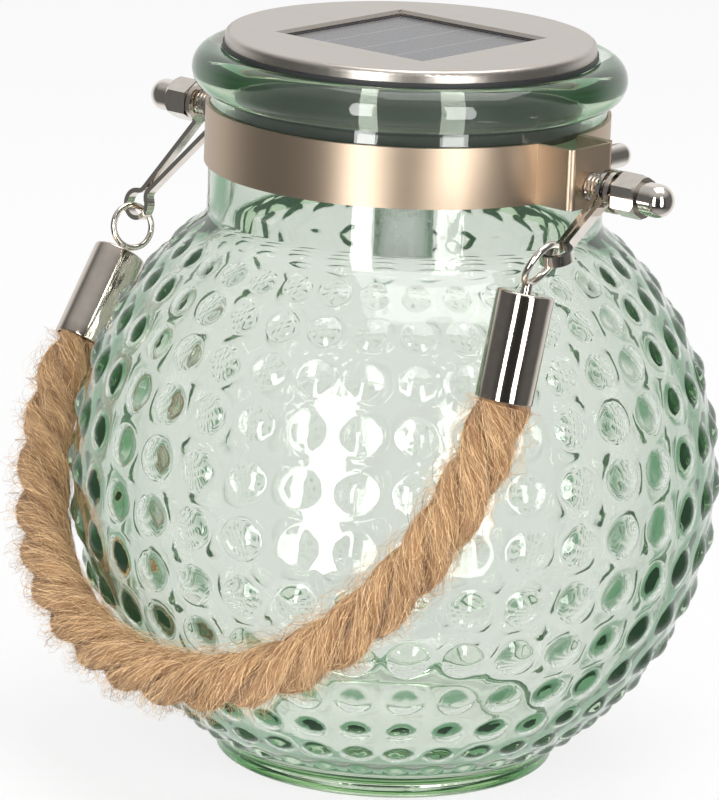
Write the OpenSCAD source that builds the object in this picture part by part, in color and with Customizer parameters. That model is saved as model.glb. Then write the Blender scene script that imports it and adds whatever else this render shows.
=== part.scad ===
/* [Glass jar] */
// Radius of the round glass body, between the hobnails
body_r = 72.2; // [70:0.1:75]
// Height of the centre of the round body above the table
body_z = 65.3; // [63:0.1:67]
// Thickness of the glass wall
glass_wall = 4; // [3:0.1:5]
// Radius of the foot
foot_r = 38.5; // [36:0.1:40]
// Thickness of the glass floor
floor_t = 7; // [5:0.5:9]
// Depth of the push-up under the floor
punt_d = 1.2; // [0.5:0.1:2]
// Outer radius of the neck
neck_r = 44; // [42:0.1:46]
// Radius of the cove where the shoulder turns up into the neck
neck_cove = 5; // [3:0.5:6]
// Thickness of the rolled bead round the mouth
bead_d = 9.8; // [9:0.1:10.4]
// How far the bead stands out from the neck
bead_out = 4.2; // [3.4:0.1:4.8]
// Height of the top of the bead above the table
rim_z = 161.2; // [159:0.1:164]

/* [Hobnails] */
// Hobnails in each ring round the jar
hob_cols = 36; // [36:2:40]
// Rings of hobnails
hob_rows = 12; // [10:1:12]
// Latitude of the highest ring, in degrees
hob_top = 46; // [44:0.5:46.5]
// Spacing of the rings against the spacing along a ring
hob_aspect = 1.02; // [0.98:0.01:1.03]
// Radius of a hobnail on the widest ring
hob_r = 4.6; // [4:0.1:5]
// Height of a hobnail on the widest ring
hob_h = 1.6; // [1:0.1:2]

/* [Neck band] */
// Height of the steel band
band_h = 13.3; // [12:0.1:14]
// Thickness of the band's sheet
band_t = 0.8; // [0.6:0.1:1]
// Height of the band's lower edge above the table
band_z = 135.3; // [134:0.1:136]
// How far each box ear stands out from the neck
ear_out = 9.6; // [9:0.1:10.4]
// Width of each box ear
ear_w = 14.4; // [14:0.1:16]
// Distance of the ears' middle in front of the jar's axis
ear_fwd = 1.6; // [0.5:0.1:3]
// Outer bend radius of the ears' corners
ear_bend = 1.6; // [1.2:0.1:2]
// Slit between the band's two ends
band_slit = 0.3; // [0.2:0.1:0.5]

/* [Pivots] */
// Diameter of the pivot bolts
bolt_d = 6; // [5:0.5:6]
// Height of the pivot line above the band's lower edge
pivot_up = 4.5; // [4.2:0.1:6]
// Width across the flats of the bolt heads and the slim cap nuts
hex_af = 8.6; // [8.2:0.1:9]
// Thickness of the bolt heads
head_t = 3; // [2:0.1:3.3]
// Bare thread between an ear and its cap nut
bare_l = 8.4; // [8:0.1:9]
// Length of the hexagon on a cap nut
cap_hex_l = 6; // [5:0.1:7]
// Diameter of the dome on a cap nut
cap_dome_d = 7.3; // [6:0.1:7.6]
// Diameter of the screw that closes the band
clamp_d = 3.5; // [3:0.5:4]
// Diameter of the closing screw's head and domed nut
clamp_head_d = 5.4; // [5:0.1:5.8]
// Length of the closing screw's domed nut
clamp_nut_l = 8.5; // [7:0.1:10]

/* [Links and rings] */
// Thickness of the strip that a link is folded from
link_t = 1.1; // [0.9:0.1:1.3]
// Width of the strip
link_w = 2.4; // [2:0.1:2.8]
// Outer diameter of the round ends on the pivot bolts
link_eye_d = 9.4; // [9:0.1:10.4]
// Gap between the two round ends of the left link
left_eye_gap = 4.4; // [3:0.1:4.8]
// Gap between the two round ends of the right link
right_eye_gap = 1; // [0.6:0.1:2]
// Middle radius of the round fold at the bottom of a link
link_loop_r = 3.2; // [3:0.1:3.4]
// Outer diameter of an eye ring
ring_d = 11.4; // [10.8:0.1:12]
// Wire diameter of an eye ring
ring_wire = 1.5; // [1.4:0.1:1.8]

/* [Rope handle] */
// Diameter of the rope
rope_d = 12; // [11.6:0.1:12.2]
// Outer diameter of the ferrules on the rope's ends
ferrule_d = 12.4; // [12:0.1:12.6]
// Length of a ferrule
ferrule_l = 23.2; // [21:0.1:24]
// Thickness of a ferrule's wall and end
ferrule_wall = 0.7; // [0.5:0.1:0.9]

/* [Solar lid] */
// Radius of the steel disc
disc_r = 41.1; // [40.6:0.1:41.8]
// Height of the steel disc
disc_h = 2.6; // [2.4:0.1:3.2]
// Thickness of the disc's sheet
disc_sheet = 1; // [0.8:0.1:1.2]
// Rounding of the disc's upper edge
disc_round = 1.2; // [0.8:0.1:1.6]
// Side of the square window
window = 41.2; // [39:0.1:43]
// Thickness of the sealing ring under the disc
gasket_t = 1; // [0.8:0.05:1.4]
// Depth of the black housing below the disc
housing_h = 15.9; // [15.5:0.1:17]
// Wall of the housing
housing_wall = 1.6; // [1.4:0.1:1.8]
// Diameter of the light tube
tube_d = 13.2; // [12:0.1:15]
// Length of the light tube
tube_l = 29; // [20:0.5:32]
// Wall of the light tube
tube_wall = 1.2; // [1:0.1:1.6]
// Thickness of the solar panel
panel_t = 1.2; // [1:0.1:1.3]
// Diameter of the battery
battery_d = 10.5; // [10:0.1:10.6]
// Length of the battery
battery_l = 44.5; // [42:0.1:45]
// Travel of the switch
switch_travel = 3; // [2:0.1:3.2]

/* [Hidden] */
$fn = 96;

// Clearances: between still pieces, between a hole and what turns in it, and beyond a cut
fit = 0.1;
running = 0.05;
over = 1;

// Glass jar
bead_r = bead_d / 2;
rim_r = neck_r + bead_out;
bead_c = [rim_r - bead_r, rim_z - bead_r];
mouth_r = rim_r - bead_d;
bore_r = neck_r - glass_wall;
punt_r = foot_r - 12;
foot_h = 6;
foot_round = 1.2;
// The cove touches the neck and the round body
cove_z = body_z + sqrt(pow(body_r + neck_cove, 2) - pow(neck_r + neck_cove, 2));
cove_touch = [neck_r + neck_cove, cove_z - body_z] * body_r / (body_r + neck_cove) + [0, body_z];

// Hobnails: a ball that pokes out of the round body
hob_ball = (hob_r * hob_r + hob_h * hob_h) / (2 * hob_h);
hob_turn = 3.83;
zone = round(hob_rows / 3);
// The highest ring keeps clear of the cove
cove_lat = acos((neck_r + neck_cove) / (body_r + neck_cove));
hob_gap = 4;
hob_start = min(hob_top, cove_lat - hob_gap);
// Rings lie closer together where the jar is narrower, as the hobnails along them do
hob_rise = ln(tan(45 + hob_start / 2)) * 180 / PI;
function hob_lat(row) = 2 * atan(exp((hob_rise - row * hob_aspect * 360 / hob_cols) * PI / 180)) - 90;

// Neck band and ears
band_in = neck_r + fit;
band_out = band_in + band_t;
ear_x = neck_r + ear_out;
ear_depth = 26;
ear_back = -ear_fwd + ear_w / 2;
flap_y = ear_back + band_slit;

// Pivot line
pivot_z = band_z + pivot_up;
bolt_r = bolt_d / 2;
cap_x = ear_x + bare_l;
// Each link's middle, midway between its two round ends; the outer end lies at the cap nut
function link_x(gap) = cap_x - 0.8 - link_t - gap / 2;
dome_r = cap_dome_d / 2;
cap_neck_l = 3.4;
cap_bore_l = cap_hex_l - 0.2;
bolt_end_x = cap_x + cap_bore_l - 0.5;

// Closing screw of the band, across the right ear
clamp_x = neck_r + 5.5;
clamp_z = band_z + band_h * 0.66;
clamp_head_t = 1.6;
clamp_bore_l = 5;

// Ends of the handle: the foot of each ferrule and the way it points, from its closed end
left_foot = [-75.2, -24.7, 84.2];
left_dir = [0.0239, -0.5822, -0.8127] / norm([0.0239, -0.5822, -0.8127]);
right_foot = [65.3, -43.2, 102];
right_dir = [-0.0189, -0.2283, -0.9734] / norm([-0.0189, -0.2283, -0.9734]);
ring_r = (ring_d - ring_wire) / 2;
waist_half = link_t * 0.7;
waist_up = 2.6;
waist_bend = 2;
// A link's straight and curved runs meet in round joints a hair wider than the strip
joint_d = link_t * 1.12;
joint_l = link_t * 0.15;
joint_a = 4;
stem_l = 2.2;
stem_out = 1.2;
stem_d = 2.4;
ferrule_bore_r = ferrule_d / 2 - ferrule_wall;
function ferrule_top(foot, dir) = foot - dir * ferrule_l;
// The ring leans from the end of its stem, square to the way it is seen to face
function stem_end(foot, dir) = ferrule_top(foot, dir) - dir * (ring_wire / 2 + stem_out);
function ring_center(foot, dir, normal) =
  let (n = unit(normal))
  stem_end(foot, dir) + unit(n * (n * dir) - dir) * ring_r;
// Where a ring hangs in its link, whose middle is at x: the side of the ring that is nearest the pivot
function ring_hang(foot, dir, normal, x) =
  let (c = ring_center(foot, dir, normal), n = unit(normal), v = [x, -ear_fwd, pivot_z] - c)
  c + unit(v - n * (n * v)) * ring_r;
left_ring_normal = [0.928, -0.289, 0.235];
right_ring_normal = [0.882, 0.115, -0.456];
// Play between a ring and the bottom of its link
ring_play = 1.2;

// The rope's route between the ferrules
rope_route = [
  [-74.8, -30.1, 76.9], [-73, -35.2, 70], [-69.9, -40.4, 63.3], [-65.4, -45.8, 56.7], [-59.6, -51.5, 50.5],
  [-52.3, -57.3, 44.8], [-43.3, -62.6, 39.9], [-32.8, -67.2, 36], [-21.8, -70.6, 33.3], [-10.6, -72.8, 32],
  [0.4, -73.8, 32.1], [10.8, -73.7, 33.6], [20.3, -72.8, 36.2], [28.7, -71.1, 39.8], [36, -69, 44.3],
  [42.3, -66.5, 49.3], [47.6, -63.7, 54.8], [52, -60.8, 60.7], [55.7, -57.8, 66.9], [58.6, -54.7, 73.3],
  [61.1, -51.6, 79.8], [63, -48.7, 86.5], [64.4, -45.9, 93.6]
];
rope_sides = 10;
rope_end_r = ferrule_bore_r - 0.25;
rope_grip = 14;
rope_plane = [0, 0.8, -0.6];

// Lid heights, from the sealing ring up
// The sealing ring rests on the bead, a little inside its crown
gasket_in = 1.8;
gasket_r = bead_c[0] - gasket_in;
seat_z = bead_c[1] + sqrt(bead_r * bead_r - gasket_in * gasket_in) + fit;
disc_z = seat_z + gasket_t;
lid_top = disc_z + disc_h;
sheet_z = lid_top - disc_sheet;
flange_r = disc_r - disc_sheet - fit;
tub_r = mouth_r - 0.8;
tub_z = disc_z - housing_h;
deck_z = tub_z + housing_wall;
ceiling_z = disc_z;
panel_side = window - 1.8;
pocket_side = panel_side + 2 * fit;
panel_z = sheet_z - panel_t - fit;
ledge = 2;

// Inside the housing
battery_y = 14.5;
door_l = battery_l + 12;
door_w = battery_d + 4;
door_t = 0.8;
// A door wider than the housing's floor follows its round edge
door_edge = tub_r - housing_wall / 2;
well_l = battery_l + 0.4;
well_w = battery_d + 1;
battery_z = tub_z + door_t + fit + battery_d / 2;
contact_t = 0.4;
contact_h = 8;
boss_r = 2.4;
screw_r = 1;
screw_head_r = 1.8;
screw_head_t = 0.9;
door_screw_x = battery_l / 2 + 3.8;
door_boss_h = 4;
board = [30, 19, 1.2];
board_y = -2;
board_z = deck_z + 6;
board_hole_x = 12;
board_hole_y = board_y - 6;
switch_y = -19;
switch_size = [13, 7, 4.4];
slider_knob = [3, 2.8];
slider_flange = [5, 4, 0.9];
knob_out = 1.4;
slot = [slider_knob[0] + switch_travel + 0.6, slider_knob[1] + 0.4];
led_r = 2.5;
led_hole_r = 3.2;
led_drop = 9;
tube_flange_r = tube_d / 2 + 1.6;
tube_flange_t = 1.4;

function unit(v) = v / norm(v);

// Stands its children on the line from p towards q
module along(p, q) {
  v = q - p;
  translate(p) rotate([0, acos(v[2] / norm(v)), atan2(v[1], v[0])]) children();
}

// A straight round bar
module bar(p, q, d) {
  along(p, q) cylinder(d = d, h = norm(q - p));
}

// A wire ring round the point c, lying square to the direction n
module wire_ring(c, n, r, wire) {
  along(c, c + n) rotate_extrude() translate([r, 0]) circle(d = wire);
}

// Outline of the jar's wall, one half
module jar_outline() {
  difference() {
    union() {
      intersection() {
        translate([0, body_z]) circle(body_r);
        square([body_r + over, cove_touch[1]]);
      }
      translate([0, body_z]) square([neck_r, bead_c[1] - body_z]);
      translate([0, foot_round]) square([foot_r, foot_h - foot_round]);
      square([foot_r - foot_round, foot_h]);
      translate([foot_r - foot_round, foot_round]) circle(foot_round);
      difference() {
        polygon([[neck_r, cove_z], [neck_r, cove_touch[1] - over], cove_touch + [-over, -over], cove_touch]);
        translate([neck_r + neck_cove, cove_z]) circle(neck_cove);
      }
      translate(bead_c) circle(bead_r);
    }
    intersection() {
      translate([0, body_z]) circle(body_r - glass_wall);
      translate([0, floor_t]) square([body_r, body_z + body_r]);
    }
    translate([0, body_z]) square([bore_r, bead_c[1] - body_z]);
    translate([0, body_z]) square([mouth_r, rim_z]);
    translate([-body_r, -over]) square([body_r, 3 * body_r]);
    translate([0, -over]) square([punt_r, over + punt_d]);
  }
}

module glass_jar() {
  color([0.78, 0.88, 0.8, 0.5]) rotate_extrude() jar_outline();
}

// A lens of glass: its top is the hobnail, its underside is the jar's own curve
module hobnail(size) {
  scale(size) rotate_extrude($fn = 16) difference() {
    translate([0, hob_h - hob_ball]) circle(hob_ball, $fn = 48);
    translate([0, -body_r / size]) circle(body_r / size, $fn = 720);
    translate([-2 * hob_ball, -2 * hob_ball]) square([2 * hob_ball, 4 * hob_ball]);
  }
}

// Rings of hobnails from row number first to row number last, counted from the neck
module hobnails(first, last) {
  color([0.72, 0.86, 0.75, 0.6])
    for (row = [first : last], col = [0 : hob_cols - 1])
      let (lat = hob_lat(row))
        translate([0, 0, body_z])
          rotate([0, 90 - lat, hob_turn + col * 360 / hob_cols])
            translate([0, 0, body_r]) hobnail(cos(lat));
}

module shoulder_hobnails() { hobnails(0, zone - 1); }
module waist_hobnails() { hobnails(zone, 2 * zone - 1); }
module foot_hobnails() { hobnails(2 * zone, hob_rows - 1); }

// A rectangle with round corners
module round_rect(size, r) {
  translate([0, r]) square([size[0], size[1] - 2 * r]);
  translate([r, 0]) square([size[0] - 2 * r, size[1]]);
  for (x = [r, size[0] - r], y = [r, size[1] - r]) translate([x, y]) circle(r);
}

module ear_outline(inset) {
  translate([ear_x - ear_depth + inset, -ear_fwd - ear_w / 2 + inset])
    round_rect([ear_depth - 2 * inset, ear_w - 2 * inset], ear_bend - inset);
}

// Seen from above: a strap round the neck with a square box bent out at each side
module band_outline() {
  difference() {
    union() {
      circle(band_out);
      for (side = [0, 1]) mirror([side, 0]) ear_outline(0);
      translate([0, flap_y]) square([ear_x - ear_bend, band_t]);
    }
    circle(band_in);
    for (side = [0, 1]) mirror([side, 0]) ear_outline(band_t);
    translate([0, ear_back]) square([ear_x, band_slit]);
  }
}

module neck_band() {
  color([0.74, 0.71, 0.67]) difference() {
    translate([0, 0, band_z]) linear_extrude(band_h) band_outline();
    translate([-ear_x - over, -ear_fwd, pivot_z]) rotate([0, 90, 0])
      cylinder(r = bolt_r + fit, h = 2 * (ear_x + over));
    translate([clamp_x, ear_back - 2 * band_t, clamp_z]) rotate([-90, 0, 0])
      cylinder(r = clamp_d / 2 + fit, h = 5 * band_t);
  }
}

module clamp_screw() {
  color([0.72, 0.7, 0.66]) translate([clamp_x, ear_back - band_t, clamp_z]) rotate([-90, 0, 0]) {
    translate([0, 0, -clamp_head_t]) cylinder(d = clamp_head_d, h = clamp_head_t);
    cylinder(d = clamp_d, h = 2 * band_t + band_slit + clamp_bore_l - 0.5);
  }
}

module clamp_nut() {
  r = clamp_head_d / 2;
  color([0.76, 0.74, 0.7]) translate([clamp_x, flap_y + band_t, clamp_z]) rotate([-90, 0, 0]) difference() {
    union() {
      cylinder(r = r, h = clamp_nut_l - r);
      translate([0, 0, clamp_nut_l - r]) sphere(r);
    }
    translate([0, 0, -over]) cylinder(r = clamp_d / 2 + running, h = clamp_bore_l + over);
  }
}

// A hexagon-headed bolt: the head is inside the ear, the shank points outwards
module pivot_bolt() {
  color([0.72, 0.7, 0.66]) translate([0, -ear_fwd, pivot_z]) rotate([0, 90, 0]) {
    translate([0, 0, ear_x - band_t - head_t]) cylinder(d = hex_af / cos(30), h = head_t, $fn = 6);
    translate([0, 0, ear_x - band_t]) cylinder(r = bolt_r, h = bolt_end_x - ear_x + band_t);
  }
}

module left_pivot_bolt() { mirror([1, 0, 0]) pivot_bolt(); }
module right_pivot_bolt() { pivot_bolt(); }

// A hexagon nut with a necked-in dome
module cap_nut() {
  color([0.78, 0.75, 0.7]) translate([cap_x, -ear_fwd, pivot_z]) rotate([0, 90, 0]) difference() {
    union() {
      intersection() {
        cylinder(d = hex_af / cos(30), h = cap_hex_l, $fn = 6);
        translate([0, 0, -hex_af]) cylinder(r1 = hex_af * 1.5, r2 = hex_af / 2, h = hex_af + cap_hex_l + 0.3);
      }
      cylinder(r = dome_r, h = cap_hex_l + cap_neck_l);
      translate([0, 0, cap_hex_l + cap_neck_l]) sphere(dome_r);
    }
    translate([0, 0, -over]) cylinder(r = bolt_r + running, h = cap_bore_l + over);
  }
}

module left_cap_nut() { mirror([1, 0, 0]) cap_nut(); }
module right_cap_nut() { cap_nut(); }

// A bent run of strip, seen from its edge, from angle a to angle b round the point c
module bend(c, r, a, b) {
  far = 3 * r;
  translate(c) difference() {
    circle(r + link_t / 2);
    circle(r - link_t / 2);
    polygon(concat([[0, 0]], [for (k = [0 : 4]) let (t = b + (a + 360 - b) * k / 4) far * [cos(t), sin(t)]]));
  }
}

// A straight run of strip, seen from its edge
module run(p, q) {
  v = q - p;
  translate(p) rotate(atan2(v[1], v[0])) translate([0, -link_t / 2]) square([norm(v), link_t]);
}

// Where a leg's bend is centred: it touches the leg outside and the loop, both on their middle lines
function bend_center(eye, leg, loop_c) =
  let (q = eye + leg[1] * waist_bend - loop_c, p = q * leg[0])
  eye + leg[1] * waist_bend
    - leg[0] * (p + sqrt(p * p - q * q + pow(link_loop_r + waist_bend, 2)));

// A hairpin of strip lying flat: two legs that close to a waist, and a round loop for the ring
module hairpin(lean, reach, gap) {
  axis = unit([lean, reach]);
  loop_c = [lean, reach] - axis * (link_loop_r - link_t / 2 - ring_wire / 2 - ring_play);
  waist = loop_c - axis * (link_loop_r + waist_up);
  across = [axis[1], -axis[0]];
  eye = [for (s = [-1, 1]) [s * (gap + link_t) / 2, link_eye_d / 2 - 0.45]];
  leg = [for (i = [0, 1]) let (d = unit(waist + (2 * i - 1) * across * waist_half - eye[i]))
    [d, (2 * i - 1) * [d[1], -d[0]]]];
  bend_c = [for (i = [0, 1]) bend_center(eye[i], leg[i], loop_c)];
  knee = [for (i = [0, 1]) bend_c[i] - leg[i][1] * waist_bend];
  turn = [for (i = [0, 1]) atan2(bend_c[i][1] - loop_c[1], bend_c[i][0] - loop_c[0])];
  from = [for (i = [0, 1]) atan2(-leg[i][1][1], -leg[i][1][0])];
  for (i = [0, 1]) {
    run(eye[i], knee[i] - leg[i][0] * joint_l);
    translate(knee[i]) circle(d = joint_d);
    translate(bend_c[i] - waist_bend * [cos(turn[i]), sin(turn[i])]) circle(d = joint_d);
  }
  bend(bend_c[0], waist_bend, from[0] + joint_a, turn[0] + 180 - joint_a);
  bend(bend_c[1], waist_bend, turn[1] + 180 + joint_a, from[1] + (from[1] < 0 ? 360 : 0) - joint_a);
  bend(loop_c, link_loop_r, turn[1] + joint_a, turn[0] + 360 - joint_a);
}

// The strip's round ends are threaded on the pivot bolt
module link(side, gap, hang) {
  x = link_x(gap);
  v = hang - [side * x, -ear_fwd, pivot_z];
  color([0.76, 0.73, 0.68]) mirror([side < 0 ? 1 : 0, 0, 0])
    translate([x, -ear_fwd, pivot_z]) rotate([atan2(v[2], v[1]), 0, 0]) {
      translate([0, 0, -link_w / 2]) linear_extrude(link_w) hairpin(side * v[0], norm([v[1], v[2]]), gap);
      for (s = [-1, 1]) translate([s * (gap + link_t) / 2, 0, 0]) rotate([0, 90, 0]) rotate_extrude()
        translate([bolt_r + running, -link_t / 2]) square([link_eye_d / 2 - bolt_r - running, link_t]);
    }
}

module left_link() { link(-1, left_eye_gap, ring_hang(left_foot, left_dir, left_ring_normal, -link_x(left_eye_gap))); }
module right_link() { link(1, right_eye_gap, ring_hang(right_foot, right_dir, right_ring_normal, link_x(right_eye_gap))); }

// A ring with a short stem that is fixed in the ferrule's closed end
module eye_ring(foot, dir, normal) {
  color([0.8, 0.77, 0.72]) {
    wire_ring(ring_center(foot, dir, normal), normal, ring_r, ring_wire);
    bar(stem_end(foot, dir), ferrule_top(foot, dir) + dir * stem_l, stem_d);
  }
}

module left_eye_ring() { eye_ring(left_foot, left_dir, left_ring_normal); }
module right_eye_ring() { eye_ring(right_foot, right_dir, right_ring_normal); }

// A drawn metal cup that grips the rope's end
module ferrule(foot, dir) {
  color([0.7, 0.67, 0.63]) along(ferrule_top(foot, dir), foot) difference() {
    cylinder(d = ferrule_d, h = ferrule_l);
    translate([0, 0, ferrule_wall]) cylinder(r = ferrule_bore_r, h = ferrule_l);
    translate([0, 0, -over]) cylinder(r = stem_d / 2 + fit, h = ferrule_wall + 2 * over);
  }
}

module left_ferrule() { ferrule(left_foot, left_dir); }
module right_ferrule() { ferrule(right_foot, right_dir); }

// The rope's centre line, from inside one ferrule to inside the other, and its radius along it
function rope_line() = concat(
  [left_foot - left_dir * rope_grip, left_foot, left_foot + left_dir * 1.5],
  rope_route,
  [right_foot + right_dir * 1.5, right_foot, right_foot - right_dir * rope_grip]);
function rope_radius(i, last) =
  min(i, last - i) < 2 ? rope_end_r : min(i, last - i) < 3 ? rope_d / 2 - 0.6 : rope_d / 2;
function rope_ring(line, i) =
  let (last = len(line) - 1,
    run = unit(line[min(i + 1, last)] - line[max(i - 1, 0)]),
    side = unit(cross(run, rope_plane)),
    up = cross(side, run),
    r = rope_radius(i, last))
  [for (k = [0 : rope_sides - 1]) let (a = 360 * k / rope_sides) line[i] + r * (cos(a) * side + sin(a) * up)];

module rope() {
  line = rope_line();
  last = len(line) - 1;
  points = [for (i = [0 : last]) each rope_ring(line, i)];
  walls = [for (i = [0 : last - 1], k = [0 : rope_sides - 1])
    let (a = i * rope_sides + k, b = i * rope_sides + (k + 1) % rope_sides)
    each [[a, b, a + rope_sides], [b, b + rope_sides, a + rope_sides]]];
  start = [for (k = [0 : rope_sides - 1]) rope_sides - 1 - k];
  end = [for (k = [0 : rope_sides - 1]) last * rope_sides + k];
  color([0.72, 0.5, 0.3]) polyhedron(points, concat([start], walls, [end]));
}

module lid_disc() {
  color([0.76, 0.74, 0.7]) difference() {
    translate([0, 0, disc_z]) rotate_extrude() difference() {
      union() {
        square([disc_r, disc_h - disc_round]);
        square([disc_r - disc_round, disc_h]);
        translate([disc_r - disc_round, disc_h - disc_round]) circle(disc_round);
      }
      translate([0, -over]) square([disc_r - disc_sheet, disc_h - disc_sheet + over]);
      translate([-disc_r, -disc_h]) square([disc_r, 3 * disc_h]);
    }
    translate([-window / 2, -window / 2, disc_z]) cube([window, window, 2 * disc_h]);
    for (a = [0 : 90 : 270]) rotate([0, 0, a]) translate([window / 2, 0, lid_top])
      rotate([0, 45, 0]) cube([1, window + 1, 1], center = true);
  }
}

module lid_gasket() {
  color([0.06, 0.06, 0.06]) translate([0, 0, seat_z]) difference() {
    cylinder(r = gasket_r, h = gasket_t);
    translate([0, 0, -over]) cylinder(r = tub_r + fit, h = gasket_t + 2 * over);
  }
}

module door_outline(play) {
  intersection() {
    translate([-door_l / 2 - play, battery_y - door_w / 2 - play]) square([door_l + 2 * play, door_w + 2 * play]);
    circle(door_edge + play);
  }
}

// The black tub: a flange under the disc, a pocket for the panel, and a deck for the electric parts
module lid_housing() {
  color([0.08, 0.08, 0.09]) difference() {
    union() {
      difference() {
        union() {
          translate([0, 0, disc_z]) cylinder(r = flange_r, h = sheet_z - disc_z);
          translate([0, 0, tub_z]) cylinder(r = tub_r, h = disc_z - tub_z);
        }
        translate([0, 0, deck_z]) cylinder(r = tub_r - housing_wall, h = ceiling_z - housing_wall - deck_z);
      }
      for (x = [-door_screw_x, door_screw_x]) translate([x, battery_y, deck_z]) cylinder(r = boss_r, h = door_boss_h);
      for (x = [-board_hole_x, board_hole_x]) translate([x, board_hole_y, deck_z])
        cylinder(r = boss_r, h = board_z - deck_z);
    }
    translate([-pocket_side / 2, -pocket_side / 2, panel_z]) cube([pocket_side, pocket_side, disc_h * 2]);
    translate([-pocket_side / 2 + ledge, -pocket_side / 2 + ledge, ceiling_z - 2 * housing_wall])
      cube([pocket_side - 2 * ledge, pocket_side - 2 * ledge, disc_h * 4]);
    translate([0, 0, tub_z - over]) linear_extrude(door_t + over) door_outline(fit);
    translate([-well_l / 2, battery_y - well_w / 2, tub_z - over]) cube([well_l, well_w, housing_wall + 2 * over]);
    for (x = [-door_screw_x, door_screw_x]) translate([x, battery_y, tub_z])
      cylinder(r = screw_r + running, h = housing_wall + door_boss_h - 0.6);
    for (x = [-board_hole_x, board_hole_x]) translate([x, board_hole_y, board_z - door_boss_h])
      cylinder(r = screw_r + running, h = door_boss_h + over);
    translate([0, 0, tub_z - over]) cylinder(r = led_hole_r, h = housing_wall + 2 * over);
    translate([-slot[0] / 2, switch_y - slot[1] / 2, tub_z - over])
      cube([slot[0], slot[1], housing_wall + 2 * over]);
  }
}

module solar_panel() {
  color([0.12, 0.13, 0.16]) translate([-panel_side / 2, -panel_side / 2, panel_z])
    cube([panel_side, panel_side, panel_t]);
}

module circuit_board() {
  color([0.1, 0.35, 0.2]) difference() {
    translate([-board[0] / 2, board_y - board[1] / 2, board_z]) cube(board);
    for (x = [-board_hole_x, board_hole_x]) translate([x, board_hole_y, board_z - over])
      cylinder(r = screw_r + fit, h = board[2] + 2 * over);
  }
}

// A small pan-headed screw, head down at the origin, shank pointing up
module small_screw(shank) {
  translate([0, 0, -screw_head_t]) cylinder(r = screw_head_r, h = screw_head_t);
  cylinder(r = screw_r, h = shank);
}

module board_screws() {
  color([0.7, 0.7, 0.7]) for (x = [-board_hole_x, board_hole_x])
    translate([x, board_hole_y, board_z + board[2]]) rotate([180, 0, 0]) small_screw(board[2] + door_boss_h - 1);
}

module battery() {
  tip = 0.8;
  color([0.2, 0.45, 0.3]) translate([-battery_l / 2, battery_y, battery_z]) rotate([0, 90, 0]) {
    cylinder(d = battery_d, h = battery_l - tip);
    cylinder(d = battery_d * 0.38, h = battery_l);
  }
}

module battery_contacts() {
  color([0.8, 0.8, 0.78]) for (side = [-1, 1])
    translate([side * (well_l / 2 + contact_t / 2 + fit), battery_y, deck_z + contact_h / 2])
      cube([contact_t, contact_h, contact_h], center = true);
}

module battery_door() {
  color([0.08, 0.08, 0.09]) difference() {
    translate([0, 0, tub_z]) linear_extrude(door_t) door_outline(0);
    for (x = [-door_screw_x, door_screw_x]) translate([x, battery_y, tub_z - over])
      cylinder(r = screw_r + fit, h = door_t + 2 * over);
  }
}

module door_screws() {
  color([0.7, 0.7, 0.7]) for (x = [-door_screw_x, door_screw_x])
    translate([x, battery_y, tub_z]) small_screw(housing_wall + door_boss_h - 1);
}

// A cover over the slider, fixed on the deck
module switch_body() {
  cavity = [slider_flange[0] + switch_travel + 0.8, slider_flange[1] + 0.6, slider_flange[2] + 0.5];
  color([0.15, 0.15, 0.16]) translate([0, switch_y, deck_z]) difference() {
    translate([-switch_size[0] / 2, -switch_size[1] / 2, 0]) cube(switch_size);
    translate([-cavity[0] / 2, -cavity[1] / 2, -over]) cube([cavity[0], cavity[1], cavity[2] + over]);
  }
}

// At rest the slider is at the off end of its slot
module switch_slider() {
  color([0.85, 0.85, 0.83]) translate([-switch_travel / 2, switch_y, 0]) {
    translate([-slider_knob[0] / 2, -slider_knob[1] / 2, tub_z - knob_out])
      cube([slider_knob[0], slider_knob[1], knob_out + housing_wall + 0.4]);
    translate([-slider_flange[0] / 2, -slider_flange[1] / 2, deck_z + fit]) cube(slider_flange);
  }
}

module led() {
  color([0.95, 0.93, 0.8]) translate([0, 0, board_z]) mirror([0, 0, 1]) {
    cylinder(r = led_r + 0.4, h = 1);
    cylinder(r = led_r, h = led_drop - led_r);
    translate([0, 0, led_drop - led_r]) sphere(led_r);
  }
}

// A clear tube with a closed foot, glued by its flange under the housing
module light_tube() {
  color([0.8, 0.82, 0.82, 0.6]) translate([0, 0, tub_z]) mirror([0, 0, 1]) difference() {
    union() {
      cylinder(d = tube_d, h = tube_l);
      cylinder(r = tube_flange_r, h = tube_flange_t);
    }
    translate([0, 0, -over]) cylinder(d = tube_d - 2 * tube_wall, h = tube_l - tube_wall + over);
  }
}

glass_jar();
shoulder_hobnails();
waist_hobnails();
foot_hobnails();
neck_band();
clamp_screw();
clamp_nut();
left_pivot_bolt();
right_pivot_bolt();
left_cap_nut();
right_cap_nut();
left_link();
right_link();
left_eye_ring();
right_eye_ring();
left_ferrule();
right_ferrule();
rope();
lid_disc();
lid_gasket();
lid_housing();
solar_panel();
circuit_board();
board_screws();
battery();
battery_contacts();
battery_door();
door_screws();
switch_body();
switch_slider();
led();
light_tube();
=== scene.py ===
import math
import random
import bpy
from mathutils import Matrix, Vector, noise


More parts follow.
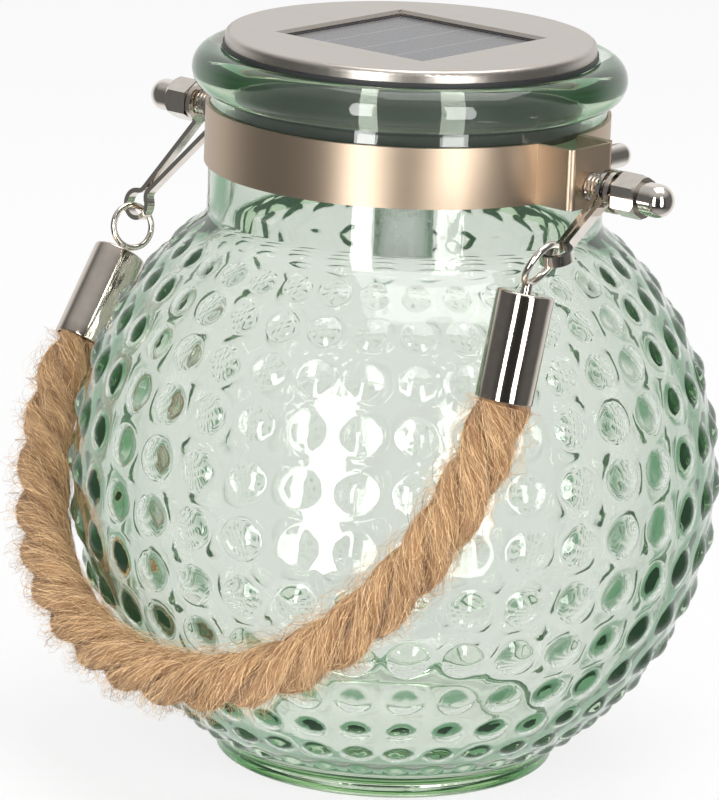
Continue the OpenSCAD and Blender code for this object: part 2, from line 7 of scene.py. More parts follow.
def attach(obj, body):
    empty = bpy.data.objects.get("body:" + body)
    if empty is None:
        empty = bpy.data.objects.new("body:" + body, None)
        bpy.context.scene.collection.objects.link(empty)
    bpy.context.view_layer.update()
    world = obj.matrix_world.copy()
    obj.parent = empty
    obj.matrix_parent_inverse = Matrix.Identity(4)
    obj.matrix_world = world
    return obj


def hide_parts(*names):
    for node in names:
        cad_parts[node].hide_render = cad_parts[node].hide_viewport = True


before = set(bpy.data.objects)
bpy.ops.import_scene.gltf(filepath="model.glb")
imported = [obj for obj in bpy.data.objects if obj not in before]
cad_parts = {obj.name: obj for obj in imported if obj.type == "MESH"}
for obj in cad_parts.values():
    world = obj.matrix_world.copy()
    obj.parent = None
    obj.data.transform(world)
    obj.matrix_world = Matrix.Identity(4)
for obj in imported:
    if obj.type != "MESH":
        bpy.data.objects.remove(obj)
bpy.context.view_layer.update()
scene = bpy.context.scene
scene.view_settings.view_transform = "Standard"

# Camera: a long lens, a little above the lid, looking down on the jar with the right ear towards it.
# Its place and turn were fitted to the round rims, the square window and the rows of hobnails.
bpy.ops.object.select_all(action="DESELECT")
bpy.ops.object.camera_add(
    location=(0.69738, -0.8311, 0.37132),
    rotation=(math.radians(75.0006), math.radians(-2.111), math.radians(41.0076)))
camera = bpy.context.object
camera.name = "camera"
camera.data.lens = 225
camera.data.sensor_width = 36
camera.data.sensor_fit = "AUTO"
camera.data.clip_start = 0.05
camera.data.dof.use_dof = False
scene.camera = camera


# Jar: one piece of pale green pressed glass. The mould gives it rings of round hobnails, a plain shoulder,
# a short straight neck and a rolled bead at the mouth. It stands on a low round foot with a hollow
# underneath.
class Wire:
    """A shader socket that takes part in plain arithmetic."""

    def __init__(self, tree, socket=None):
        self.tree = tree
        self.socket = socket

    def node(self, kind, settings=None, inputs=None, out=0):
        """A new node with its settings made and its inputs set or linked; gives one of its outputs."""
        made = self.tree.nodes.new(kind)
        for key, value in (settings or {}).items():
            setattr(made, key, value)
        for key, value in (inputs or {}).items():
            if isinstance(value, Wire):
                self.tree.links.new(value.socket, made.inputs[key])
            else:
                made.inputs[key].default_value = value
        return Wire(self.tree, made.outputs[out])

    def math(self, operation, *values):
        """A Math node on wires and numbers."""
        return self.node("ShaderNodeMath", {"operation": operation}, dict(enumerate(values)))

    def __add__(self, other):
        return self.math("ADD", self, other)

    def __radd__(self, other):
        return self.math("ADD", other, self)

    def __sub__(self, other):
        return self.math("SUBTRACT", self, other)

    def __rsub__(self, other):
        return self.math("SUBTRACT", other, self)

    def __mul__(self, other):
        return self.math("MULTIPLY", self, other)

    def __rmul__(self, other):
        return self.math("MULTIPLY", other, self)

    def noise(self, place, scale, detail=3.0, roughness=0.5):
        """Soft blotches between 0 and 1."""
        return self.node("ShaderNodeTexNoise", {}, {
            "Vector": place, "Scale": scale, "Detail": detail, "Roughness": roughness})

    def stretch(self, place, scale, turn=(0, 0, 0)):
        """The place with each axis scaled, so that blotches turn into streaks."""
        return self.node("ShaderNodeMapping", {}, {"Vector": place, "Rotation": turn, "Scale": scale})

    def between(self, mask, low, high):
        """A smooth step of the mask from 0 at low to 1 at high."""
        return self.node("ShaderNodeMapRange", {"interpolation_type": "SMOOTHSTEP"}, {
            "Value": mask, "From Min": low, "From Max": high})

    def tint(self, mask, low, high):
        """One colour where the mask is 0, the other where it is 1."""
        return self.node("ShaderNodeMix", {"data_type": "RGBA"}, {0: mask, 6: low, 7: high}, 2)

    def bump(self, height, strength, distance):
        """A normal that follows small heights on the surface."""
        return self.node("ShaderNodeBump", {}, {"Strength": strength, "Distance": distance, "Height": height})


def finish_of(name):
    """A new empty material and the wire to build its nodes with."""
    made = bpy.data.materials.new(name)
    made.use_nodes = True
    made.node_tree.nodes.clear()
    return made, Wire(made.node_tree)


def surface(wire, shader, volume=None):
    """Joins a shader to the material's output."""
    output = wire.tree.nodes.new("ShaderNodeOutputMaterial")
    wire.tree.links.new(shader.socket, output.inputs["Surface"])
    if volume:
        wire.tree.links.new(volume.socket, output.inputs["Volume"])


def paint(wire, look, volume=None):
    """Gives the material a Principled surface with this look, and a volume where there is one."""
    surface(wire, wire.node("ShaderNodeBsdfPrincipled", {}, look), volume)


def object_place(wire):
    """The point on the piece, in metres."""
    return wire.node("ShaderNodeTexCoord", out=3)


def from_points(name, points, edges, faces=()):
    """A new piece from its points, selected by itself."""
    mesh = bpy.data.meshes.new(name)
    mesh.from_pydata(points, edges, faces)
    piece = bpy.data.objects.new(name, mesh)
    scene.collection.objects.link(piece)
    pick(piece)
    return piece


def pick(*pieces):
    """Selects these pieces alone, the first one active."""
    bpy.ops.object.select_all(action="DESELECT")
    for piece in pieces:
        piece.select_set(True)
    bpy.context.view_layer.objects.active = pieces[0]


def join(name, *pieces):
    """Makes one piece of several, with shared points merged."""
    pick(*pieces)
    bpy.ops.object.join()
    piece = bpy.context.object
    piece.name = name
    bpy.ops.object.mode_set(mode="EDIT")
    bpy.ops.mesh.select_all(action="SELECT")
    bpy.ops.mesh.remove_doubles(threshold=0.00001)
    bpy.ops.mesh.normals_make_consistent(inside=False)
    bpy.ops.object.mode_set(mode="OBJECT")
    return piece


def lathe(name, outline, steps, turn=0.0):
    """Spins an outline of (radius, height) points once round the Z axis."""
    c, s = math.cos(turn), math.sin(turn)
    piece = from_points(
        name, [(r * c, r * s, z) for r, z in outline], [(i, i + 1) for i in range(len(outline) - 1)])
    bpy.ops.object.mode_set(mode="EDIT")
    bpy.ops.mesh.select_all(action="SELECT")
    bpy.ops.mesh.spin(steps=steps, angle=math.tau, center=(0, 0, 0), axis=(0, 0, 1))
    bpy.ops.mesh.select_all(action="SELECT")
    bpy.ops.mesh.remove_doubles(threshold=0.000004)
    bpy.ops.mesh.normals_make_consistent(inside=False)
    bpy.ops.object.mode_set(mode="OBJECT")
    return piece


def arc(center, radius, first, last, count):
    """Points on an arc in an outline, angles in degrees."""
    angles = [math.radians(first + (last - first) * i / count) for i in range(count + 1)]
    return [(center[0] + radius * math.cos(a), center[1] + radius * math.sin(a)) for a in angles]


def dress(piece, finish, body, slot, *nodes):
    """Gives a piece its finish and body, and says which nodes it stands for. The slot is not used."""
    piece.data.materials.clear()
    piece.data.materials.append(finish)
    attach(piece, body)
    if nodes:
        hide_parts(*nodes)


body_r = 0.0722
body_z = 0.0653
neck_r = 0.044
glass_wall = 0.004
hob_cols = 36
hob_rows = 12
hob_turn = 3.83
hob_top_lat = 46
hob_pitch = 360 / hob_cols
hob_drop = hob_pitch * 1.02
hob_top = math.degrees(math.log(math.tan(math.radians(45 + hob_top_lat / 2))))
hob_spread = math.degrees(0.0045 / body_r)
hob_height = 0.0014
hob_rings = (0.4, 0.74, 0.96, 1.14)
hob_power = 1.25
hob_drift = 0.006
hob_seed = 11


def latitude(rise):
    """The latitude of a height on the unrolled jar, both in degrees."""
    return 2 * math.degrees(math.atan(math.exp(math.radians(rise)))) - 90


# One hobnail on a square of the unrolled jar, in degrees; rings of points turn from square to round
bpy.ops.object.select_all(action="DESELECT")
bpy.ops.mesh.primitive_grid_add(x_subdivisions=10, y_subdivisions=10, size=1)
skin = bpy.context.object
for vertex in skin.data.vertices:
    x, y = vertex.co.x, vertex.co.y
    ring = round(max(abs(x), abs(y)) * 10)
    if ring == 5:
        vertex.co = (x * hob_pitch, y * hob_drop, 0)
    elif ring == 0:
        vertex.co = (0, 0, hob_height)
    else:
        if abs(x) > abs(y):
            angle = math.pi / 4 * y / x + (math.pi if x < 0 else 0)
        else:
            angle = math.pi / 2 - math.pi / 4 * x / y + (math.pi if y < 0 else 0)
        out = hob_rings[ring - 1]
        rise = hob_height * max(0.0, 1 - out * out) ** hob_power
        vertex.co = (out * hob_spread * math.cos(angle), out * hob_spread * math.sin(angle), rise)
for count, offset in ((hob_cols, (hob_pitch, 0, 0)), (hob_rows, (0, -hob_drop, 0))):
    row = skin.modifiers.new("row", "ARRAY")
    row.use_relative_offset = False
    row.use_constant_offset = True
    row.count = count
    row.constant_offset_displace = offset
    row.use_merge_vertices = True
    row.merge_threshold = 0.001
    bpy.ops.object.modifier_apply(modifier=row.name)

# The square wrapped round the jar; the mould is not quite even, and its upper hobnails are flatter
noise.seed_set(hob_seed)
for vertex in skin.data.vertices:
    lat = math.radians(latitude(hob_top + vertex.co.y))
    lon = math.radians(hob_turn + vertex.co.x)
    spot = Vector((math.cos(lat) * math.cos(lon), math.cos(lat) * math.sin(lon), math.sin(lat)))
    edge = min(hob_drop / 2 - vertex.co.y, vertex.co.y + (hob_rows - 0.5) * hob_drop)
    drift = noise.noise_vector(spot * 11) * min(1.0, edge / hob_drop) * hob_drift
    lon += drift.x
    lat += drift.y
    low = min(1.0, 0.55 - 0.15 * vertex.co.y / hob_drop)
    far = body_r + vertex.co.z * math.cos(lat) * low * (1 + 20 * drift.z)
    vertex.co = (
        far * math.cos(lat) * math.cos(lon),
        far * math.cos(lat) * math.sin(lon),
        body_z + far * math.sin(lat))

# The plain parts: shoulder, neck, bead and inside in one outline, foot and hollow in another
upper = latitude(hob_top + hob_drop / 2)
lower = latitude(hob_top - (hob_rows - 0.5) * hob_drop)
cove = 0.005
cove_c = (neck_r + cove, body_z + math.sqrt((body_r + cove) ** 2 - (neck_r + cove) ** 2))
touch = math.degrees(math.atan2(cove_c[1] - body_z, cove_c[0]))
bead_r = 0.0049
bead_c = (0.0433, 0.1563)
mouth_r = bead_c[0] - bead_r
bore_r = neck_r - glass_wall
inner_r = body_r - glass_wall
floor_z = 0.007
floor_lat = math.degrees(math.asin((floor_z + 0.004 - body_z) / inner_r))
floor_r = inner_r * math.cos(math.radians(floor_lat))
bore_lat = math.degrees(math.acos((bore_r + 0.003) / inner_r))
outline = arc((0, body_z), body_r, upper, touch, 2)
outline += arc(cove_c, cove, touch + 180, 180, 8)[1:]
outline += [(neck_r, cove_c[1] + (bead_c[1] - 0.0048 - cove_c[1]) * i / 4) for i in (1, 2, 3, 4)]
outline += arc(bead_c, bead_r, -80, 175, 28)
outline += [(mouth_r, bead_c[1] - 0.002), (mouth_r + 0.0003, bead_c[1] - 0.004), (bore_r, bead_c[1] - 0.0062)]
outline += [(bore_r, 0.145), (bore_r, 0.137), (bore_r, 0.128), (bore_r + 0.0008, 0.1215)]
outline += arc((0, body_z), inner_r, bore_lat, floor_lat, 36)
outline += [(floor_r - 0.0042, floor_z + 0.0012), (floor_r - 0.010, floor_z + 0.0002)]
outline += [(0.02, floor_z), (0, floor_z)]
turn = math.radians(hob_turn - hob_pitch / 2)
top = lathe("top", outline, hob_cols * 10, turn)
foot_r = 0.0385
outline = arc((0, body_z), body_r, lower, -57.2, 2)
outline += [(foot_r + 0.0002, 0.0043), (foot_r, 0.0032), (foot_r, 0.0018)]
outline += arc((foot_r - 0.0012, 0.0012), 0.0012, 0, -90, 4)
outline += [(0.0275, 0), (0.0268, 0.0003), (0.0262, 0.001), (0.025, 0.0012), (0.012, 0.0012), (0, 0.0012)]
base = lathe("base", outline, hob_cols * 10, turn)
jar = join("jar", skin, top, base)
bpy.ops.object.shade_smooth_by_angle(angle=math.radians(70))
even = jar.modifiers.new("even", "WEIGHTED_NORMAL")
even.keep_sharp = True
bpy.ops.object.modifier_apply(modifier=even.name)

glass, wire = finish_of("pale_green_glass")
ripple = wire.noise(object_place(wire), 70.0, 2.0)
green = wire.node("ShaderNodeVolumeAbsorption", {}, {"Color": (0.375, 0.64, 0.22, 1), "Density": 24.0})
# Painted light: a green glow from inside the glass wall, added to its absorption, so that the glass shines
# green of itself.
painted_green_glow = wire.node("ShaderNodeEmission", {}, {"Color": (0.45, 1.0, 0.56, 1), "Strength": 1.5})
paint(wire, {
    "Base Color": (1, 1, 1, 1), "Roughness": 0.0, "IOR": 1.5, "Transmission Weight": 1.0,
    "Normal": wire.bump(ripple, 0.12, 0.0006)}, wire.node("ShaderNodeAddShader", {}, {0: green, 1: painted_green_glow}))
dress(jar, glass, "jar", "glass", "glass_jar", "shoulder_hobnails", "waist_hobnails", "foot_hobnails")


# Neck band: a bent strap of brushed stainless steel with a square box at each side for a pivot bolt.
# Its two ends overlap at the right ear, where a small screw draws it tight round the neck.
def node_finish(finish, *nodes):
    """Puts a finish on CAD nodes."""
    for name in nodes:
        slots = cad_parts[name].data.materials
        for i in range(len(slots)):
            slots[i] = finish
        if not len(slots):
            slots.append(finish)


band_finish, wire = finish_of("brushed_band")
place = object_place(wire)
lines = wire.noise(wire.stretch(place, (4, 4, 3000)), 1.0, 4.0, 0.6)
blotch = wire.noise(place, 40.0)
paint(wire, {
    "Base Color": wire.tint(lines * 0.6 + blotch * 0.4, (0.455, 0.355, 0.265, 1), (0.545, 0.43, 0.32, 1)),
    "Metallic": 1.0, "Roughness": 0.36 + lines * 0.08,
    "Normal": wire.bump(lines, 0.02, 0.0001)})
node_finish(band_finish, "neck_band")

# Bright hardware: the band's small closing screw and its domed nut, the cap nuts of the pivot bolts, the
# links folded from strip and the eye rings bent from wire. All are polished steel.
bright, wire = finish_of("polished_steel")
place = object_place(wire)
haze = wire.noise(place, 350.0, 4.0)
smear = wire.noise(place, 60.0, 2.0)
paint(wire, {
    "Base Color": wire.tint(haze, (0.62, 0.57, 0.51, 1), (0.82, 0.77, 0.71, 1)),
    "Metallic": 1.0, "Roughness": 0.06 + 0.1 * smear,
    "Normal": wire.bump(haze, 0.03, 0.0003)})
node_finish(bright, "clamp_screw", "clamp_nut", "left_cap_nut", "right_cap_nut", "left_link", "right_link",
            "left_eye_ring", "right_eye_ring")

# Pivot bolts: hexagon-headed M6 bolts with a rolled thread. Each head is inside an ear, and the thread
# carries the link's round ends and the cap nut outside it.
pivot = Vector((0, -0.0016, 0.1398))
thread_r = 0.003
thread_root = 0.00248
thread_pitch = 0.001
head_x = (0.0498, 0.0528)
shank_end = 0.0673
for side, turn in (("left", math.pi), ("right", 0.0)):
    parts = []
    for corners, r, start, end in ((6, 0.00496, *head_x), (32, thread_root, head_x[1] - 0.0005, shank_end)):
        bpy.ops.object.select_all(action="DESELECT")
        bpy.ops.mesh.primitive_cylinder_add(vertices=corners, radius=r, depth=end - start)
        parts.append(bpy.context.object)
        parts[-1].data.transform(
            Matrix.Translation(((start + end) / 2, 0, 0)) @ Matrix.Rotation(math.pi / 2, 4, "Y"))
    outline = ((0, thread_root), (0.38, thread_r), (0.62, thread_r), (1, thread_root))
    thread = from_points(
        "thread", [(head_x[1] + x * thread_pitch, r, 0) for x, r in outline], [(0, 1), (1, 2), (2, 3)])
    screw = thread.modifiers.new("screw", "SCREW")
    screw.axis = "X"
    screw.screw_offset = thread_pitch
    screw.iterations = 13
    screw.steps = screw.render_steps = 28
    screw.use_merge_vertices = True
    bpy.ops.object.modifier_apply(modifier=screw.name)
    bolt = join(side + "_bolt", *parts, thread)
    bolt.data.transform(Matrix.Translation(pivot) @ Matrix.Rotation(turn, 4, "Z"))
    pick(bolt)
    bpy.ops.object.shade_smooth_by_angle(angle=math.radians(25))
    dress(bolt, bright, "jar", "bright_steel", side + "_pivot_bolt")

# Ferrules: drawn cups of polished nickel. Each is closed at the top round its ring's stem, and is pressed
# on one end of the rope.
ferrule_r = 0.0062
ferrule_l = 0.0232
nickel, wire = finish_of("dark_nickel")
place = object_place(wire)
streak = wire.noise(place, 500.0, 3.0)
paint(wire, {
    "Base Color": wire.tint(streak, (0.52, 0.46, 0.4, 1), (0.66, 0.6, 0.53, 1)),
    "Metallic": 1.0, "Roughness": 0.05 + 0.06 * streak,
    "Normal": wire.bump(streak, 0.03, 0.0002)})
left_foot = Vector((-0.0752, -0.0247, 0.0842))
left_dir = Vector((0.0239, -0.5822, -0.8127)).normalized()
right_foot = Vector((0.0653, -0.0432, 0.102))
right_dir = Vector((-0.0189, -0.2283, -0.9734)).normalized()
outline = [(0.0013, 0), (0.003, 0), (ferrule_r - 0.0008, 0)]
outline += arc((ferrule_r - 0.0006, 0.0006), 0.0006, -90, 0, 5)
outline += [(ferrule_r, 0.003), (ferrule_r, 0.011), (ferrule_r, ferrule_l - 0.003)]
outline += arc((ferrule_r - 0.00035, ferrule_l - 0.00035), 0.00035, 0, 180, 8)
outline += [(ferrule_r - 0.0007, ferrule_l - 0.003), (ferrule_r - 0.0007, 0.004), (0.0013, 0.004)]
for side, foot, way in (("left", left_foot, left_dir), ("right", right_foot, right_dir)):
    cup = lathe(side + "_cup", outline, 64)
    stand = Vector((0, 0, 1)).rotation_difference(way).to_matrix().to_4x4()
    cup.data.transform(Matrix.Translation(foot - way * ferrule_l) @ stand)
    pick(cup)
    bpy.ops.object.shade_smooth_by_angle(angle=math.radians(40))
    dress(cup, nickel, "handle", "nickel", side + "_ferrule")

# Rope: three-strand jute, 12 mm thick, laid left-handed, very hairy. It hangs in front of the jar from
# the ferrules, which grip its two ends.
route = [
    (-74.8, -30.1, 76.9), (-73, -35.2, 70), (-69.9, -40.4, 63.3), (-65.4, -45.8, 56.7), (-59.6, -51.5, 50.5),
    (-52.3, -57.3, 44.8), (-43.3, -62.6, 39.9), (-32.8, -67.2, 36), (-21.8, -70.6, 33.3), (-10.6, -72.8, 32),
    (0.4, -73.8, 32.1), (10.8, -73.7, 33.6), (20.3, -72.8, 36.2), (28.7, -71.1, 39.8), (36, -69, 44.3),
    (42.3, -66.5, 49.3), (47.6, -63.7, 54.8), (52, -60.8, 60.7), (55.7, -57.8, 66.9), (58.6, -54.7, 73.3),
    (61.1, -51.6, 79.8), (63, -48.7, 86.5), (64.4, -45.9, 93.6)]
rope_in = 0.004
points = [left_foot - left_dir * rope_in, left_foot + left_dir * 0.0005]
points += [Vector(p) / 1000 for p in route]
points += [right_foot + right_dir * 0.0005, right_foot - right_dir * rope_in]


def smooth_line(points, step):
    """Evenly spaced points on a smooth curve through the given ones."""
    fine = []
    for i in range(len(points) - 1):
        p, q, r, s = (points[max(0, min(len(points) - 1, i + k))] for k in (-1, 0, 1, 2))
        for k in range(24):
            t = k / 24
            fine.append(0.5 * (2 * q + (r - p) * t + (2 * p - 5 * q + 4 * r - s) * t * t
                               + (3 * q - p - 3 * r + s) * t ** 3))
    fine.append(points[-1])
    lengths = [0.0]
    for a, b in zip(fine, fine[1:]):
        lengths.append(lengths[-1] + (b - a).length)
    count = round(lengths[-1] / step)
    line = []
    i = 0
    for k in range(count + 1):
        want = lengths[-1] * k / count
        while i < len(fine) - 2 and lengths[i + 1] < want:
            i += 1
        part = (want - lengths[i]) / max(lengths[i + 1] - lengths[i], 1e-9)
        line.append(fine[i].lerp(fine[i + 1], part))
    return line, lengths[-1]


line, rope_l = smooth_line(points, 0.0008)
runs = [(line[min(i + 1, len(line) - 1)] - line[max(i - 1, 0)]).normalized() for i in range(len(line))]
frames = []
side = runs[0].orthogonal().normalized()
for run in runs:
    side = (side - run * side.dot(run)).normalized()
    frames.append((side.copy(), run.cross(side)))
strand_r = 0.00335
lay_r = 0.00265
rope_pitch = 0.038
strand_sides = 24
strand_twist = 260
groove_from = 0.0034
groove_depth = 0.0026
ball_c = Vector((0, 0, body_z))


def strand_center(k, i):
    """The middle of strand k at step i of the line, and the way out from the rope's middle."""
    angle = -math.tau * i * rope_l / (len(line) - 1) / rope_pitch + k * math.tau / 3
    out = frames[i][0] * math.cos(angle) + frames[i][1] * math.sin(angle)
    squeeze = min(1.0, 0.88 + 0.02 * min(i, len(line) - 1 - i))
    return line[i] + out * lay_r * squeeze, out, squeeze


verts, faces, turns, groove_shade_points = [], [], [], []
for k in range(3):
    start = len(verts)
    for i in range(len(line)):
        center, out, squeeze = strand_center(k, i)
        cross = runs[i].cross(out)
        length = i * rope_l / (len(line) - 1)
        for j in range(strand_sides):
            a = math.tau * j / strand_sides
            twist = a + length * strand_twist
            spot = Vector((math.cos(twist) * 2.4, math.sin(twist) * 2.4, length * 90 + 17 * k))
            rough = noise.noise(spot) * 0.0003 + noise.noise(spot * 2.7) * 0.0002
            r = (strand_r + rough) * squeeze
            point = center + out * math.cos(a) * r + cross * math.sin(a) * r
            verts.append(point)
            turns.append((length, j / strand_sides, k))
            # Painted shade: how far each point stands out from the rope's middle, kept so that the grooves
            # between the strands can be darkened.
            groove_shade_points.append(min(1.0, max(0.0, ((point - line[i]).length - groove_from) / groove_depth)))
    for i in range(len(line) - 1):
        for j in range(strand_sides):
            a = start + i * strand_sides + j
            b = start + i * strand_sides + (j + 1) % strand_sides
            faces.append((a, b, b + strand_sides, a + strand_sides))
    faces.append([start + j for j in reversed(range(strand_sides))])
    faces.append([start + (len(line) - 1) * strand_sides + j for j in range(strand_sides)])
rope = from_points("jute_rope", verts, [], faces)
bpy.ops.object.shade_smooth()
depth = rope.data.attributes.new("groove_shade", "FLOAT", "POINT")
depth.data.foreach_set("value", groove_shade_points)
uv = rope.data.uv_layers.new(name="lay")
for polygon in rope.data.polygons:
    around = [turns[v][1] for v in polygon.vertices]
    wrap = max(around) - min(around) > 0.5
    for loop in polygon.loop_indices:
        length, a, k = turns[rope.data.loops[loop].vertex_index]
        if wrap and a < 0.5:
            a += 1
        uv.data[loop].uv = (length * 52 + k * 0.37, a)

jute, wire = finish_of("jute_fibre")
lay = wire.node("ShaderNodeUVMap", {"uv_map": "lay"})
fine = wire.noise(wire.stretch(lay, (2.2, 46, 1), (0, 0, 0.42)), 1.6, 6.0, 0.65)
broad = wire.noise(wire.stretch(lay, (0.9, 12, 1), (0, 0, 0.42)), 1.3, 3.0)
blotch = wire.noise(object_place(wire), 90.0, 3.0)
painted_groove_shade = wire.node("ShaderNodeAttribute", {"attribute_name": "groove_shade"}, out=2)
fibre = wire.between(fine * 0.65 + broad * 0.35, 0.3, 0.7)
shade = wire.tint(fibre, (0.16, 0.066, 0.02, 1), (0.62, 0.355, 0.15, 1))
# Painted shade: the fibre colour is multiplied towards dark brown deep in the grooves between the strands.
shade = wire.node("ShaderNodeMix", {"data_type": "RGBA", "blend_type": "MULTIPLY"}, {
    0: 0.85 - 0.85 * wire.between(painted_groove_shade, 0.0, 0.75), 6: shade, 7: (0.26, 0.14, 0.06, 1)}, 2)
shade = wire.tint(wire.between(blotch, 0.45, 0.75) * 0.35, shade, (0.84, 0.56, 0.3, 1))
paint(wire, {
    "Base Color": shade, "Roughness": 0.85, "Sheen Weight": 0.25, "Sheen Roughness": 0.5,
    "Normal": wire.bump(fine * 0.6 + broad * 0.4, 1.0, 0.0011)})
dress(rope, jute, "handle", "jute", "rope")

# Loose fibres of the rope: most lie close along the strands, and others stand away from them in thin
# curves. They are of the same jute, each one a little lighter or darker than the next.
straw, wire = finish_of("loose_jute")
tone = wire.node("ShaderNodeAttribute", {"attribute_name": "tone"}, out=2)
paint(wire, {
    "Base Color": wire.tint(tone, (0.22, 0.095, 0.03, 1), (1.0, 0.71, 0.4, 1)), "Roughness": 0.7})
chance = random.Random(11)
hair_room = 0.0021
hair_round = 1.8


def off_glass(p):
    """Keeps a fibre's point outside the glass."""
    far = p - ball_c
    if far.length < body_r + hair_room:
        p = ball_c + far.normalized() * (body_r + hair_room)
    return p


def fibres(name, count, links, reach_of, lift_of, sway_of, thick):
    """A piece made of many thin three-sided fibres that follow the strands and taper to their ends."""
    points, faces, tones = [], [], []
    step = rope_l / (len(line) - 1)
    mouth = round((rope_in + 0.001) / step)
    for _ in range(count):
        k = chance.randrange(3)
        i = chance.randrange(mouth, len(line) - mouth)
        a = chance.uniform(-hair_round, hair_round)
        reach = chance.uniform(*reach_of) * chance.choice((-1, 1)) / step
        lift = chance.uniform(*lift_of)
        sway = chance.gauss(*sway_of)
        curl = chance.gauss(0, 0.5)
        rise = chance.uniform(0.5, 0.9) * math.pi
        radius = chance.uniform(*thick)
        path = []
        for m in range(links + 1):
            t = m / links
            at = max(mouth, min(len(line) - 1 - mouth, round(i + reach * t)))
            center, out, squeeze = strand_center(k, at)
            turn = a + sway * t + curl * t * t
            normal = out * math.cos(turn) + runs[i].cross(out) * math.sin(turn)
            path.append(off_glass(center + normal * (strand_r * squeeze * 0.98 + lift * math.sin(t * rise))))
        first = len(points)
        tones += [chance.random()] * (3 * links + 3)
        for m, p in enumerate(path):
            run = (path[min(m + 1, links)] - path[max(m - 1, 0)]).normalized()
            across = run.orthogonal().normalized()
            beyond = run.cross(across)
            r = radius * (1 - 0.75 * m / links)
            for j in range(3):
                corner = j * math.tau / 3
                points.append(p + (across * math.cos(corner) + beyond * math.sin(corner)) * r)
        for m in range(links):
            for j in range(3):
                q = first + 3 * m
                faces.append((q + j, q + (j + 1) % 3, q + 3 + (j + 1) % 3, q + 3 + j))
    piece = from_points(name, points, [], faces)
    piece.data.attributes.new("tone", "FLOAT", "POINT").data.foreach_set("value", tones)
    dress(piece, straw, "handle", "jute")
    return piece


flat_hairs = fibres(
    "rope_fibres", count=6500, links=4, reach_of=(0.004, 0.014), lift_of=(0.00002, 0.0006),
    sway_of=(0.35, 0.6), thick=(0.00005, 0.00011))
loose_hairs = fibres(
    "rope_hairs", count=4600, links=5, reach_of=(0.004, 0.011), lift_of=(0.0005, 0.0045),
    sway_of=(0, 1.0), thick=(0.00003, 0.00006))
[tuple(p) for p in line[::8] + [line[-1]]]

# Lid: a pressed disc of brushed stainless steel with a square window for the solar panel. The housing
# under it plugs the mouth, and a rubber ring lies between disc and bead.
disc_finish, wire = finish_of("brushed_lid")
place = object_place(wire)
lines = wire.noise(wire.stretch(place, (60, 4200, 60), (0, 0, math.radians(8))), 1.0, 4.0, 0.7)
wide = wire.noise(wire.stretch(place, (8, 500, 8), (0, 0, math.radians(8))), 1.0, 3.0)
paint(wire, {
    "Base Color": wire.tint(lines * 0.6 + wide * 0.4, (0.42, 0.385, 0.345, 1), (0.56, 0.515, 0.465, 1)),
    "Metallic": 1.0, "Roughness": 0.24 + lines * 0.16,
    "Normal": wire.bump(lines, 0.12, 0.0001)})
node_finish(disc_finish, "lid_disc")

# Solar panel: dark cells with thin silver lines, cast in clear resin. It shows through the lid's square
# window.
panel_finish, wire = finish_of("solar_cells")
place = object_place(wire)
apart = wire.node("ShaderNodeSeparateXYZ", {}, {"Vector": place})
across = Wire(wire.tree, apart.socket.node.outputs[0])
along = Wire(wire.tree, apart.socket.node.outputs[1])
cell = wire.between(wire.math("PINGPONG", across + 0.0005, 0.005), 0.00012, 0.0002)
rib = wire.between(wire.math("PINGPONG", along, 0.001), 0.00004, 0.00009)
grain = wire.noise(place, 900.0, 2.0)
paint(wire, {
    "Base Color": wire.tint(cell * (0.75 + 0.25 * rib), (0.16, 0.16, 0.17, 1),
                            wire.tint(grain, (0.018, 0.019, 0.024, 1), (0.03, 0.032, 0.04, 1))),
    "Roughness": 0.22 + 0.1 * grain, "Coat Weight": 0.3, "Coat Roughness": 0.1})
node_finish(panel_finish, "solar_panel")

# Sealing ring, housing, battery door and switch body: matt black rubber and plastic with a fine moulded
# grain. The housing hangs under the lid's disc, and screws hold its door.
black, wire = finish_of("black_moulding")
grain = wire.noise(object_place(wire), 1400.0, 3.0)
paint(wire, {
    "Base Color": wire.tint(grain, (0.012, 0.012, 0.014, 1), (0.03, 0.03, 0.033, 1)),
    "Roughness": 0.42 + 0.2 * grain,
    "Normal": wire.bump(grain, 0.15, 0.0001)})
node_finish(black, "lid_gasket", "lid_housing", "battery_door", "switch_body")

# Circuit board: green lacquer over copper tracks, on a thin stiff sheet. Small screws hold it inside the
# housing.
board, wire = finish_of("green_board")
place = object_place(wire)
tracks = wire.node("ShaderNodeTexVoronoi", {"feature": "DISTANCE_TO_EDGE", "distance": "MANHATTAN"}, {
    "Vector": place, "Scale": 260.0})
paint(wire, {
    "Base Color": wire.tint(wire.between(tracks, 0.05, 0.1), (0.1, 0.36, 0.17, 1), (0.03, 0.19, 0.09, 1)),
    "Roughness": 0.35 + 0.1 * tracks})
node_finish(board, "circuit_board")

# Small fittings inside the lid: the screws of the board and of the battery door, and the battery's
# contacts, all of zinc-plated steel.
zinc, wire = finish_of("zinc_plate")
haze = wire.noise(object_place(wire), 800.0, 3.0)
paint(wire, {
    "Base Color": wire.tint(haze, (0.5, 0.5, 0.5, 1), (0.68, 0.68, 0.67, 1)), "Metallic": 1.0,
    "Roughness": 0.25 + 0.2 * haze})
node_finish(zinc, "board_screws", "battery_contacts", "door_screws")

# Battery: one AAA-size rechargeable cell in a plain green shrink sleeve. It lies between its contacts,
# behind the door.
sleeve, wire = finish_of("battery_sleeve")
place = object_place(wire)
shrink = wire.noise(wire.stretch(place, (40, 300, 300)), 1.0, 3.0)
paint(wire, {
    "Base Color": wire.tint(shrink, (0.16, 0.4, 0.25, 1), (0.2, 0.47, 0.31, 1)),
    "Roughness": 0.25 + 0.15 * shrink})
node_finish(sleeve, "battery")

